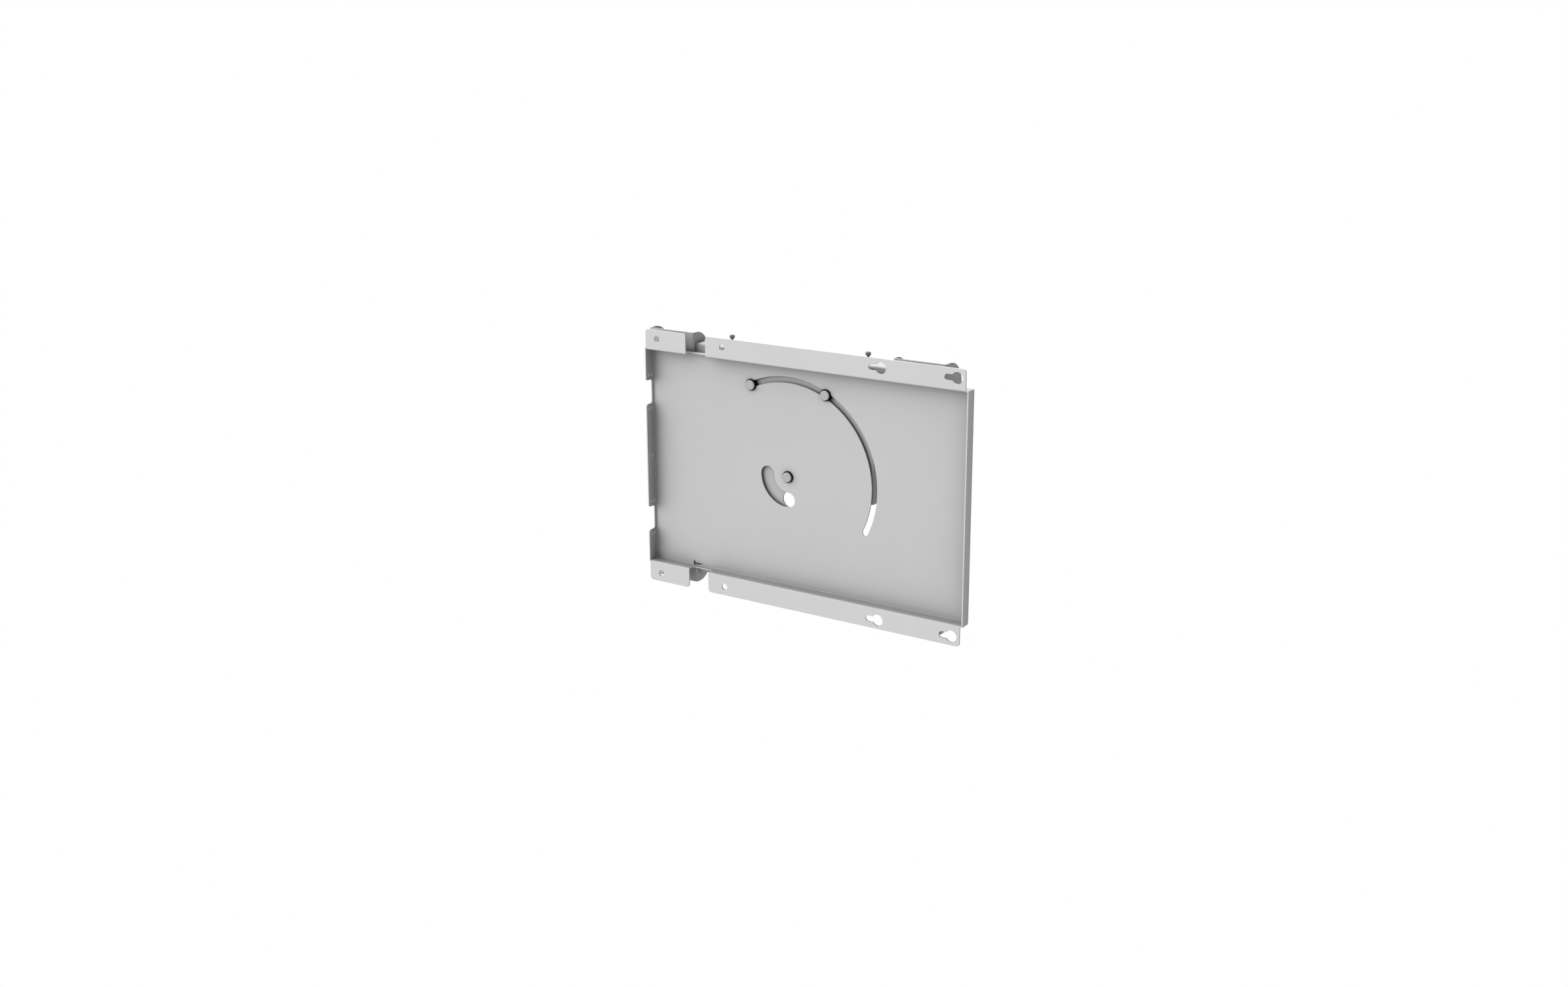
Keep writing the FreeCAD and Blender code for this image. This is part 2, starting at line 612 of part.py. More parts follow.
def base_plate():
    """The joggled plate that carries the swivel, with side flanges and a tongue to the lower beam."""
    face = [
        (band_front, plate_end),
        (band_front, plate_joggle + JOGGLE_LENGTH),
        (frame_front, plate_joggle),
        (frame_front, -plate_joggle),
        (band_front, -plate_joggle - JOGGLE_LENGTH),
        (band_front, -plate_end),
    ]
    points, radii = bent_sheet(face, FRAME_SHEET, FRAME_BEND)
    sheet = along_x(points, radii, -PLATE_HALF_WIDTH, PLATE_HALF_WIDTH)
    flat = PLATE_HALF_WIDTH - FRAME_SHEET - FRAME_BEND
    outline = [
        (-flat, PLATE_SIDE_BOTTOM),
        (-TONGUE_HALF_WIDTH, PLATE_SIDE_BOTTOM),
        (-TONGUE_HALF_WIDTH, -plate_end),
        (TONGUE_HALF_WIDTH, -plate_end),
        (TONGUE_HALF_WIDTH, PLATE_SIDE_BOTTOM),
        (flat, PLATE_SIDE_BOTTOM),
        (flat, plate_end),
        (-flat, plate_end),
    ]
    radii = [PLATE_CORNER] * len(outline)
    radii[0] = 0
    radii[5] = 0
    front = plate(outline, radii, frame_front - PAST, beam_front + PAST)
    flange_back = frame_front + PLATE_SIDE_FLANGE
    face = [
        (-PLATE_HALF_WIDTH, flange_back),
        (-PLATE_HALF_WIDTH, frame_front),
        (PLATE_HALF_WIDTH, frame_front),
        (PLATE_HALF_WIDTH, flange_back),
    ]
    points, radii = bent_sheet(face, FRAME_SHEET, FRAME_BEND)
    flanged = along_z(points, radii, PLATE_SIDE_BOTTOM, plate_side_top)
    depths = (frame_front - PAST, beam_inside + PAST)
    cutters = [drilled(0, -CABLE_RADIUS, CABLE_HOLE, *depths)]
    cutters.append(drilled(0, 0, PIVOT_SHANK + 2 * RUNNING, *depths))
    for x in (-guide_x, guide_x):
        cutters.append(drilled(x, guide_z, GUIDE_SHANK + 2 * RUNNING, *depths))
    return sheet.common(front).fuse(flanged).cut(cutters).removeSplitter()


def at_guides(piece):
    """The two copies of a piece that belongs to a guide pin."""
    return Part.makeCompound([piece(x) for x in (-guide_x, guide_x)])


def headed_pin(shank, end, x, z):
    """A pin through tray and base plate, with the low bevelled head that the room sees."""
    head_front = head_seat - PIN_HEAD_HEIGHT
    section = [
        (0, head_front),
        (PIN_HEAD / 2 - PIN_HEAD_CHAMFER, head_front),
        (PIN_HEAD / 2, head_front + PIN_HEAD_CHAMFER),
        (PIN_HEAD / 2, head_seat),
        (shank / 2, head_seat),
        (shank / 2, end),
        (0, end),
    ]
    return turned(section, FreeCAD.Vector(x, 0, z), TO_WALL)


def flanged_bush(shank, sleeve, x, z):
    """The black bush that keeps a pin off the tray: a flange under the head and a sleeve."""
    bore = shank / 2 + RUNNING
    section = [
        (bore, head_seat),
        (FLANGE_DIAMETER / 2, head_seat),
        (FLANGE_DIAMETER / 2, tray_floor),
        (sleeve / 2, tray_floor),
        (sleeve / 2, tray_back),
        (bore, tray_back),
    ]
    return turned(section, FreeCAD.Vector(x, 0, z), TO_WALL)


def guide_bush(x):
    """A guide pin's bush, which has a second flange between the tray and the base plate."""
    sleeve = ARC_WIDTH - 2 * GUIDE_SLIP
    bore = GUIDE_SHANK + 2 * RUNNING
    centre = FreeCAD.Vector(x, 0, guide_z)
    spacer = ring(FLANGE_DIAMETER, bore, tray_back, frame_front, centre, TO_WALL)
    return flanged_bush(GUIDE_SHANK, sleeve, x, guide_z).fuse(spacer).removeSplitter()


def jack_nuts():
    """The two nuts welded under the upper beam's flange."""
    nuts = []
    for x in (-jack_x, jack_x):
        seat = FreeCAD.Vector(x, jack_y, beam_underside)
        nuts.append(nut(JACK_NUT_FLATS, JACK_NUT_HEIGHT, JACK_THREAD, seat, DOWN))
    return Part.makeCompound(nuts)


def guide_nut(x):
    """The lock nut behind the base plate on a guide pin."""
    centre = FreeCAD.Vector(x, frame_inside, guide_z)
    return nut(GUIDE_NUT_FLATS, GUIDE_NUT_HEIGHT, GUIDE_SHANK, centre, TO_WALL)


def main():
    axle = FreeCAD.Vector(0, 0, 0)
    bore = PIVOT_SHANK + 2 * RUNNING
    washer_end = frame_inside + WASHER_THICKNESS
    behind_washer = FreeCAD.Vector(0, washer_end, 0)
    pivot_end = washer_end + PIVOT_NUT_HEIGHT + THREAD_END
    guide_end = frame_inside + GUIDE_NUT_HEIGHT + THREAD_END
    upright = right_upright()
    rail = wall_rail()
    beam = upper_beam()
    pieces = {
        "wall_rail_upper": rail,
        "wall_rail_lower": upside_down(rail),
        "upright_left": mirrored(upright),
        "upright_right": upright,
        "beam_upper": beam,
        "beam_lower": upside_down(beam),
        "hook_bar": hook_bar(),
        "base_plate": base_plate(),
        "pivot_bolt": headed_pin(PIVOT_SHANK, pivot_end, 0, 0),
        "pivot_bush": flanged_bush(PIVOT_SHANK, PIVOT_SLEEVE, 0, 0),
        "pivot_glide_disc": ring(GLIDE_DISC, bore, tray_back, frame_front, axle, TO_WALL),
        "pivot_washer": ring(WASHER_DIAMETER, bore, frame_inside, washer_end, axle, TO_WALL),
        "pivot_nut": nut(PIVOT_NUT_FLATS, PIVOT_NUT_HEIGHT, PIVOT_SHANK, behind_washer, TO_WALL),
        "guide_pins": at_guides(lambda x: headed_pin(GUIDE_SHANK, guide_end, x, guide_z)),
        "guide_bushes": at_guides(guide_bush),
        "guide_nuts": at_guides(guide_nut),
        "levelling_nuts": jack_nuts(),
        "securing_nuts": upside_down(jack_nuts()),
        "levelling_screw_left": jack_screw(-jack_x),
        "levelling_screw_right": jack_screw(jack_x),
        "securing_screw_left": upside_down(jack_screw(-jack_x)),
        "securing_screw_right": upside_down(jack_screw(jack_x)),
        "swivel_tray": swivel_tray(),
    }
    os.makedirs("parts", exist_ok=True)
    for name, shape in pieces.items():
        print(name, "solids", len(shape.Solids), "valid", shape.isValid(), "volume", round(shape.Volume, 1))
        shape.exportStep("parts/" + name + ".step")


main()
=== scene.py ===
import json
import math

import bpy
from mathutils import Matrix, Vector


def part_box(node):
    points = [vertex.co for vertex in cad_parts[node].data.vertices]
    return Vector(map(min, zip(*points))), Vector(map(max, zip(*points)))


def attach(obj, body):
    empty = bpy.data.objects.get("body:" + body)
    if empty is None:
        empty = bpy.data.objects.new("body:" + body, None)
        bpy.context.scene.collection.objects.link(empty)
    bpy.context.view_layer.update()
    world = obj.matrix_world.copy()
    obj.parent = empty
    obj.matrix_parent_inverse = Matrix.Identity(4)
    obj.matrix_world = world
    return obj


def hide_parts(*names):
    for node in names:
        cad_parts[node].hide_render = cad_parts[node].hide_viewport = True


# The looks of a swivelling wall mount for a large display. Metres; +X right, +Y into the wall, +Z up.

# Camera, fitted to the photograph; lens and sensor in millimetres, angles in degrees
CAMERA_PLACE = (1.423704, -2.290986, 0.756176)
CAMERA_AZIMUTH = 33.3213
CAMERA_DOWN = 14.9701
CAMERA_ROLL = -0.2842
CAMERA_LENS = 39.8738
CAMERA_SENSOR = 36.0
CAMERA_SHIFT = (0.012567, -0.029134)
CAMERA_RANGE = 60.0

# Threads, which the model's boxes don't give
THREAD_SHARE = 0.56           # depth of a thread, as a share of its pitch
TIP_BEVEL = 1.1               # bevel of a screw's tip, in depths of its thread
THREAD_STEPS = 8              # rings to one pitch
JACK_THREAD = 0.005
JACK_PITCH = 0.0008
JACK_NECK = 0.0002            # plain neck between a jack screw's thread and its head
GUIDE_SHANK = 0.006
GUIDE_PITCH = 0.001
GUIDE_THREADED = 0.009
PIVOT_SHANK = 0.010
PIVOT_PITCH = 0.0015
PIVOT_THREADED = 0.012

# Nuts
JACK_NUT_FLATS = 0.008
GUIDE_NUT_FLATS = 0.010
PIVOT_NUT_FLATS = 0.017
NUT_CROWN = 0.475             # radius of a nut's end face, as a share of its flats
NUT_BEVEL_STEP = 0.012        # height of one ring of a nut's bevel, as a share of its flats
NUT_BEVEL_RINGS = 7
NUT_LEAD = 0.0004             # countersink of a nut's bore
NUT_COLUMNS = 72
BORE_SLACK = 0.00005          # radial room of a thread in its nut

# Heads of the jack screws
JACK_HEAD_HEIGHT = 0.005
JACK_SEAT = 0.92              # bearing face under a head, as a share of its radius
JACK_SEAT_BEVEL = 0.0003
KNURLS = 24
KNURL_COLUMNS = 4             # points around a head to one knurl
KNURL_DEPTH = 0.0002
KNURL_ROOT = 1.1              # how far in the knurls end, in depths of a knurl
KNURL_RUN_OUT = 0.0003        # height over which the knurls fade at both ends
CROWN_DROP = 0.0007           # from a head's top to the lower end of its rounded edge
CROWN_STEP = (0.0005, 0.0002)  # inwards and down from the corner, to a point on that edge
CROWN_WIDTH = 0.0009          # inwards from the corner, to the upper end of that edge
SOCKET_FLATS = 0.004
SOCKET_DEPTH = 0.0025
SOCKET_MOUTH = 0.6            # radius of the countersink, as a share of the flats
SOCKET_LEAD = 0.0003          # depth of the countersink
SOCKET_FLOOR = 0.25           # radius of the socket's flat bottom, as a share of the flats
SOCKET_CONE = 0.0005          # depth of the cone that the drill left

# Heads of the swivel and guide pins
PIN_SEAT_BEVEL = 0.0003
PIN_COLUMNS = 96
RIM_RADIUS = 0.0003
RIM_STEPS = 4
FACE_SHARE = 0.78             # flat middle of a head, as a share of its radius
FACE_FALL = 0.00035           # from the flat middle to the rim
FACE_HUB = 0.1                # innermost ring of the flat middle, as a share of the radius
GROOVE_WIDTH = 0.0004
GROOVE_DEPTH = 0.00016
GROOVE_LIP = 0.3              # fall of the groove's outer lip, as a share of its depth

# Fillet welds on the hidden sides of the frame
FRAME_SHEET = 0.0025
BEAD_LEG = 0.0028
BEAD_POINTS = 9               # points across a bead's face
BEAD_ROOT = 0.0003            # how far a bead reaches into the sheets
BEAD_END = 0.35               # size of a bead at its very end, as a share of its full size
BEAD_HOLLOW = 0.16            # how far the middle of its face lies in, as a share of the leg
FLANGE_SHORT = 0.002          # how far a bead stops short of a flange's edge
WEB_SHORT = 0.003             # how far a bead stops short of a web's edge
STITCHES = 5
STITCH_STEP = 0.068
STITCH_LENGTH = 0.030
RIPPLE_PITCH = 0.0016
RIPPLE_STEPS = 8              # points along a bead to one ripple
RIPPLE_HEIGHT = 0.035         # as a share of the leg
RIPPLE_LAG = 0.5              # how far the middle of a ripple trails, in pitches

# Edges of the pieces made here stay sharp from this angle on, in degrees
SHARP_FROM = 35

# Surfaces
NOISE_LOW = 0.3               # the range that holds nearly all values of a noise texture
NOISE_HIGH = 0.7
FINE_PEEL = 3.1               # how many times finer the coat's second peel is than its first
FINE_PEEL_SHARE = 0.35        # height of the second peel, as a share of the first
SPECKLE = 0.012               # change of the coat's tone from point to point
CLOUDING = 0.015              # change of the coat's tone over the width of a hand
GLOSS_CHANGE = 0.03
COAT_ROUGHNESS = 0.5
COAT_EDGE = 0.0007            # radius by which the coat rounds an edge
EDGE_TURNED = 0.8             # cosine between the rounded and the flat normal where an edge is full
OPEN_FROM = 0.8               # openness at which an edge starts to count as an outer one
OPEN_TO = 0.95
RING_DRIFT = 3.0              # how far lathe rings wander, in radians
RING_DRIFT_SCALE = 400.0
FINE_TOOTH = 8.0              # how many times finer a plating's tooth is than its mottling
HARDWARE_REACH = 0.006        # how far off another face still darkens a face of the hardware with painted shade
LIP_FADE = 0.003              # from the tray's front to where its recess starts
FLOOR_FADE = 0.004            # from the tray's back to where its recess is deepest
RECESS_PAINTED_SHADE = 0.11            # how much darker the recess is painted, as shade

# Stage and light, which stay plain
FLOOR_LEVEL = -1.05
FLOOR_HALF = 8.0
FLOOR_GREY = 0.42
WHITE = (1.0, 1.0, 1.0, 1.0)
STUDIO_LEAST = 0.02           # the darkest side of the studio

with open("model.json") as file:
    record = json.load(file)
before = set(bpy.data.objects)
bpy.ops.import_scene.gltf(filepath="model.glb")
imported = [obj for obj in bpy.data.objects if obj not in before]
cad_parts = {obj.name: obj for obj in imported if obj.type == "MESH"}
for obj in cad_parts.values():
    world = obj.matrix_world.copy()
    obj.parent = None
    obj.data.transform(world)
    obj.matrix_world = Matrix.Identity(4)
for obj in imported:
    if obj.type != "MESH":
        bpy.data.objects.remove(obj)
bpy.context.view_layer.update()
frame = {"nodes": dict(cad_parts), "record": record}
scene = bpy.context.scene


# Node groups


def new_group(name, inputs, outputs):
    """An empty shader node group with named sockets, and its input and output nodes."""
    group = bpy.data.node_groups.new(name, "ShaderNodeTree")
    for label, kind, default in inputs:
        socket = group.interface.new_socket(label, in_out="INPUT", socket_type=kind)
        socket.default_value = default
    for label, kind in outputs:
        group.interface.new_socket(label, in_out="OUTPUT", socket_type=kind)
    return group, group.nodes.new("NodeGroupInput"), group.nodes.new("NodeGroupOutput")


def node(tree, kind, settings=None, **inputs):
    """A node with its settings, and with its inputs set or linked by name."""
    made = tree.nodes.new(kind)
    for key, value in (settings or {}).items():
        setattr(made, key, value)
    for key, value in inputs.items():
        plug(tree, value, made.inputs[key.replace("_", " ")])
    return made


def plug(tree, value, socket):
    """Links an output to a socket, or sets the socket to a plain value."""
    if isinstance(value, bpy.types.NodeSocket):
        tree.links.new(value, socket)
    else:
        socket.default_value = value


def maths(tree, operation, first, second=0.0, third=0.0):
    """The result of one sum on values or outputs."""
    made = tree.nodes.new("ShaderNodeMath")
    made.operation = operation
    for value, socket in zip((first, second, third), made.inputs):
        plug(tree, value, socket)
    return made.outputs[0]


def vector_maths(tree, operation, first, second):
    """The node for one sum on vectors."""
    made = tree.nodes.new("ShaderNodeVectorMath")
    made.operation = operation
    plug(tree, first, made.inputs[0])
    plug(tree, second, made.inputs[1])
    return made


def rescale(tree, value, low, high, to_low, to_high):
    """A value moved from one range to another and held inside it."""
    made = tree.nodes.new("ShaderNodeMapRange")
    given = {"Value": value, "From Min": low, "From Max": high, "To Min": to_low, "To Max": to_high}
    for key, setting in given.items():
        plug(tree, setting, made.inputs[key])
    return made.outputs["Result"]


def noise(tree, place, scale, detail, roughness):
    """The value of a noise texture at a place."""
    made = node(tree, "ShaderNodeTexNoise", Vector=place, Scale=scale, Detail=detail, Roughness=roughness)
    return made.outputs["Fac"]


def stretched(tree, value, low, high):
    """A noise value, with its usual range stretched from low to high."""
    return rescale(tree, value, NOISE_LOW, NOISE_HIGH, low, high)


def between(tree, mask, low, high):
    """A value that goes from low to high as a mask goes from 0 to 1."""
    return rescale(tree, mask, 0.0, 1.0, low, high)


def powder_group():
    """The skin of a baked powder coat: fine orange peel, a faint cloudiness and its speckle."""
    group, start, end = new_group(
        "powder_skin",
        [("Peel Scale", "NodeSocketFloat", 700.0), ("Peel Height", "NodeSocketFloat", 0.00005),
         ("Cloud Scale", "NodeSocketFloat", 5.0), ("Normal", "NodeSocketVector", (0.0, 0.0, 0.0))],
        [("Tone", "NodeSocketFloat"), ("Gloss", "NodeSocketFloat"), ("Normal", "NodeSocketVector")],
    )
    place = node(group, "ShaderNodeTexCoord").outputs["Object"]
    scale = start.outputs["Peel Scale"]
    finer = maths(group, "MULTIPLY", scale, FINE_PEEL)
    peel = noise(group, place, scale, detail=2.0, roughness=0.45)
    fine = noise(group, place, finer, detail=1.0, roughness=0.5)
    cloud = noise(group, place, start.outputs["Cloud Scale"], detail=3.0, roughness=0.5)
    height = maths(group, "MULTIPLY_ADD", fine, FINE_PEEL_SHARE, peel)
    depth = start.outputs["Peel Height"]
    bump = node(group, "ShaderNodeBump", Distance=depth, Height=height, Normal=start.outputs["Normal"])
    speckle = stretched(group, fine, -SPECKLE, SPECKLE)
    tone = stretched(group, cloud, 1 - CLOUDING, 1 + CLOUDING)
    group.links.new(maths(group, "ADD", tone, speckle), end.inputs["Tone"])
    group.links.new(stretched(group, peel, -GLOSS_CHANGE, GLOSS_CHANGE), end.inputs["Gloss"])
    group.links.new(bump.outputs["Normal"], end.inputs["Normal"])
    return group


def edge_group():
    """How near a point is to a sharp outer edge, and a normal that rounds all sharp edges."""
    group, start, end = new_group(
        "edge_round",
        [("Radius", "NodeSocketFloat", 0.0005), ("Inner Reach", "NodeSocketFloat", 0.003)],
        [("Edge", "NodeSocketFloat"), ("Normal", "NodeSocketVector")],
    )
    bevel = node(group, "ShaderNodeBevel", {"samples": 4}, Radius=start.outputs["Radius"])
    flat = node(group, "ShaderNodeNewGeometry").outputs["Normal"]
    same = vector_maths(group, "DOT_PRODUCT", bevel.outputs["Normal"], flat).outputs["Value"]
    reach = start.outputs["Inner Reach"]
    around = node(group, "ShaderNodeAmbientOcclusion", {"samples": 4}, Distance=reach)
    turned = rescale(group, same, 1.0, EDGE_TURNED, 0.0, 1.0)
    outer = rescale(group, around.outputs["AO"], OPEN_FROM, OPEN_TO, 0.0, 1.0)
    group.links.new(maths(group, "MULTIPLY", turned, outer), end.inputs["Edge"])
    group.links.new(bevel.outputs["Normal"], end.inputs["Normal"])
    return group


def crevice_group():
    """Painted shade: the share of a colour kept in a corner or crevice, which is darkened there, but not at
    an edge.
    """
    group, start, end = new_group(
        "crevice_shade",
        [("Reach", "NodeSocketFloat", 0.15), ("Depth", "NodeSocketFloat", 1.0),
         ("Spread", "NodeSocketFloat", 1.0), ("Edge", "NodeSocketFloat", 0.0)],
        [("Shade", "NodeSocketFloat")],
    )
    reach = start.outputs["Reach"]
    around = node(group, "ShaderNodeAmbientOcclusion", {"samples": 8}, Distance=reach)
    shut = maths(group, "SUBTRACT", 1.0, around.outputs["AO"])
    off_edge = maths(group, "SUBTRACT", 1.0, start.outputs["Edge"])
    spread = maths(group, "POWER", maths(group, "MAXIMUM", shut, 0.0), start.outputs["Spread"])
    lost = maths(group, "MULTIPLY", maths(group, "MULTIPLY", spread, off_edge), start.outputs["Depth"])
    kept = maths(group, "EXPONENT", maths(group, "MULTIPLY", lost, -1.0))
    group.links.new(kept, end.inputs["Shade"])
    return group


def recess_shade_group():
    """How far a point lies back from the front of the tray, for painted shade that darkens its recess
    towards the back.
    """
    group, start, end = new_group(
        "recess_shade_mask",
        [("Front", "NodeSocketFloat", 0.0), ("Back", "NodeSocketFloat", 0.02)],
        [("Recess", "NodeSocketFloat")],
    )
    place = node(group, "ShaderNodeTexCoord").outputs["Object"]
    depth = node(group, "ShaderNodeSeparateXYZ", Vector=place).outputs["Y"]
    mask = rescale(group, depth, start.outputs["Front"], start.outputs["Back"], 0.0, 1.0)
    group.links.new(mask, end.inputs["Recess"])
    return group


def turned_group():
    """Fine rings left by a lathe about an axis along Y, the same on both sides of X = 0."""
    group, start, end = new_group(
        "turned_rings",
        [("Axis X", "NodeSocketFloat", 0.0), ("Axis Z", "NodeSocketFloat", 0.0),
         ("Rings per Metre", "NodeSocketFloat", 2600.0), ("Height", "NodeSocketFloat", 0.000006)],
        [("Rings", "NodeSocketFloat"), ("Normal", "NodeSocketVector")],
    )
    place = node(group, "ShaderNodeTexCoord").outputs["Object"]
    split = node(group, "ShaderNodeSeparateXYZ", Vector=place)
    either_side = maths(group, "ABSOLUTE", split.outputs["X"])
    across = maths(group, "SUBTRACT", either_side, start.outputs["Axis X"])
    up = maths(group, "SUBTRACT", split.outputs["Z"], start.outputs["Axis Z"])
    up_squared = maths(group, "MULTIPLY", up, up)
    radius = maths(group, "SQRT", maths(group, "MULTIPLY_ADD", across, across, up_squared))
    drift = noise(group, place, RING_DRIFT_SCALE, detail=2.0, roughness=0.5)
    turns = maths(group, "MULTIPLY", radius, start.outputs["Rings per Metre"])
    phase = maths(group, "MULTIPLY", turns, 2 * math.pi)
    phase = maths(group, "MULTIPLY_ADD", drift, RING_DRIFT, phase)
    wave = maths(group, "MULTIPLY_ADD", maths(group, "SINE", phase), 0.5, 0.5)
    bump = node(group, "ShaderNodeBump", Distance=start.outputs["Height"], Height=wave)
    group.links.new(wave, end.inputs["Rings"])
    group.links.new(bump.outputs["Normal"], end.inputs["Normal"])
    return group


def plating_group():
    """The mottling of a plated or blackened surface, with a fine tooth."""
    group, start, end = new_group(
        "plated_skin",
        [("Scale", "NodeSocketFloat", 350.0), ("Height", "NodeSocketFloat", 0.00001)],
        [("Mottle", "NodeSocketFloat"), ("Grain", "NodeSocketFloat"), ("Normal", "NodeSocketVector")],
    )
    place = node(group, "ShaderNodeTexCoord").outputs["Object"]
    scale = start.outputs["Scale"]
    finer = maths(group, "MULTIPLY", scale, FINE_TOOTH)
    mottle = noise(group, place, scale, detail=4.0, roughness=0.6)
    grain = noise(group, place, finer, detail=2.0, roughness=0.5)
    bump = node(group, "ShaderNodeBump", Distance=start.outputs["Height"], Height=grain)
    group.links.new(stretched(group, mottle, 0.0, 1.0), end.inputs["Mottle"])
    group.links.new(stretched(group, grain, 0.0, 1.0), end.inputs["Grain"])
    group.links.new(bump.outputs["Normal"], end.inputs["Normal"])
    return group


POWDER = powder_group()
EDGE = edge_group()
CREVICE = crevice_group()
RECESS_SHADE = recess_shade_group()
TURNED = turned_group()
PLATED = plating_group()


# Materials


def new_material(name):
    """A material with a principled shader, its tree and that shader."""
    material = bpy.data.materials.new(name)
    material.use_nodes = True
    shader = material.node_tree.nodes["Principled BSDF"]
    return material, material.node_tree, shader


def use_group(tree, group, **inputs):
    """One use of a shared node group, with its inputs set by name."""
    made = tree.nodes.new("ShaderNodeGroup")
    made.node_tree = group
    for key, value in inputs.items():
        plug(tree, value, made.inputs[key.replace("_", " ")])
    return made


def tinted(tree, dark, light, amount):
    """A colour that goes from dark to light as an amount goes from 0 to 1."""
    mix = node(tree, "ShaderNodeMix", {"data_type": "RGBA"}, Factor=amount)
    first, second = (socket for socket in mix.inputs if socket.enabled and socket.type == "RGBA")
    first.default_value = (*dark, 1.0)
    second.default_value = (*light, 1.0)
    return next(socket for socket in mix.outputs if socket.enabled)


def shaded(tree, colour, amount):
    """A colour times an amount."""
    made = vector_maths(tree, "SCALE", colour, (0.0, 0.0, 0.0))
    tree.links.new(amount, made.inputs["Scale"])
    return made.outputs["Vector"]


def dress(tree, shader, colour, roughness, normal):
    """Joins what changes over a surface to its shader."""
    tree.links.new(colour, shader.inputs["Base Color"])
    tree.links.new(roughness, shader.inputs["Roughness"])
    tree.links.new(normal, shader.inputs["Normal"])


def coat(name, colour, edge_gain, reach, depth, spread, recess=None):
    """Satin powder coat on sheet metal, whose cut edges take a tone of their own and whose corners are
    darkened with painted shade.
    """
    material, tree, shader = new_material(name)
    edge = use_group(tree, EDGE, Radius=COAT_EDGE)
    near_edge = edge.outputs["Edge"]
    skin = use_group(tree, POWDER, Normal=edge.outputs["Normal"])
    # Cut edges take edge_gain times the colour: on the tray this is a painted highlight, on the frame the
    # edges are darker.
    at_edge = tuple(c * edge_gain for c in colour)
    # Painted shade: corners and crevices are darkened, cut edges are not.
    crevice = use_group(tree, CREVICE, Reach=reach, Depth=depth, Spread=spread, Edge=near_edge)
    amount = maths(tree, "MULTIPLY", skin.outputs["Tone"], crevice.outputs["Shade"])
    if recess:
        # Painted shade: the recess is darkened towards the tray's back.
        front, back = recess
        mask = use_group(tree, RECESS_SHADE, Front=front, Back=back)
        kept = maths(tree, "MULTIPLY_ADD", mask.outputs["Recess"], -RECESS_PAINTED_SHADE, 1.0)
        amount = maths(tree, "MULTIPLY", amount, kept)
    base = shaded(tree, tinted(tree, colour, at_edge, near_edge), amount)
    roughness = maths(tree, "ADD", skin.outputs["Gloss"], COAT_ROUGHNESS)
    dress(tree, shader, base, roughness, skin.outputs["Normal"])
    shader.inputs["Specular IOR Level"].default_value = 0.25
    return material


def turned_steel(name, axis_x, axis_z):
    """Turned and plated steel with lathe rings about one axis."""
    material, tree, shader = new_material(name)
    rings = use_group(tree, TURNED, Axis_X=axis_x, Axis_Z=axis_z)
    skin = use_group(tree, PLATED)
    colour = tinted(tree, PIN_DARK, PIN_LIGHT, rings.outputs["Rings"])
    roughness = between(tree, skin.outputs["Mottle"], low=0.44, high=0.54)
    dress(tree, shader, colour, roughness, rings.outputs["Normal"])
    shader.inputs["Metallic"].default_value = 0.15
    shader.inputs["Specular IOR Level"].default_value = 0.3
    return material


def plated_steel(name, dark, light, metallic, rough_low, rough_high, depth):
    """Plated or blackened steel with its mottling, darkened with painted shade in grooves and under heads.
    """
    material, tree, shader = new_material(name)
    skin = use_group(tree, PLATED)
    crevice = use_group(tree, CREVICE, Reach=HARDWARE_REACH, Depth=depth)
    mottled = tinted(tree, dark, light, skin.outputs["Mottle"])
    colour = shaded(tree, mottled, crevice.outputs["Shade"])
    roughness = between(tree, skin.outputs["Grain"], rough_low, rough_high)
    dress(tree, shader, colour, roughness, skin.outputs["Normal"])
    shader.inputs["Metallic"].default_value = metallic
    return material


def nylon(name, dark, light):
    """Moulded nylon with a fine spark-eroded grain."""
    material, tree, shader = new_material(name)
    skin = use_group(tree, PLATED, Scale=600.0, Height=0.00002)
    colour = tinted(tree, dark, light, skin.outputs["Mottle"])
    roughness = between(tree, skin.outputs["Grain"], low=0.55, high=0.7)
    dress(tree, shader, colour, roughness, skin.outputs["Normal"])
    shader.inputs["Specular IOR Level"].default_value = 0.06
    return material


def grey(level):
    """A neutral colour."""
    return (level, level, level)


TRAY_GREY = grey(0.62)
# The frame has the tray's grey coat; its lower grey is painted shade for lying behind the tray.
FRAME_SHADED_GREY = grey(0.46)
PIN_DARK = grey(0.40)
PIN_LIGHT = grey(0.45)
ZINC_DARK = (0.55, 0.56, 0.57)
ZINC_LIGHT = (0.70, 0.71, 0.72)
BLACKED_DARK = grey(0.14)
BLACKED_LIGHT = grey(0.22)
# Nearly pure black: the nylon's own black, made darker still as painted shade for the shadow round the
# bushes' flanges.
NYLON_DARK = grey(0.003)
NYLON_LIGHT = grey(0.006)

tray_low, tray_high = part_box("swivel_tray")
guide_low, guide_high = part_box("guide_pins")
pivot_low, pivot_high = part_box("pivot_bolt")
guide_x = (guide_high.x - guide_low.x) / 2 - (guide_high.z - guide_low.z) / 2
guide_z = (guide_high.z + guide_low.z) / 2
tray_recess_shade = (tray_low.y + LIP_FADE, tray_high.y - FLOOR_FADE)

# The tray's paler cut edges are a painted highlight; its corners and its recess get painted shade.
tray_coat = coat(
    "tray_powder_coat", TRAY_GREY, edge_gain=1.25, reach=0.15, depth=0.74, spread=0.65, recess=tray_recess_shade
)
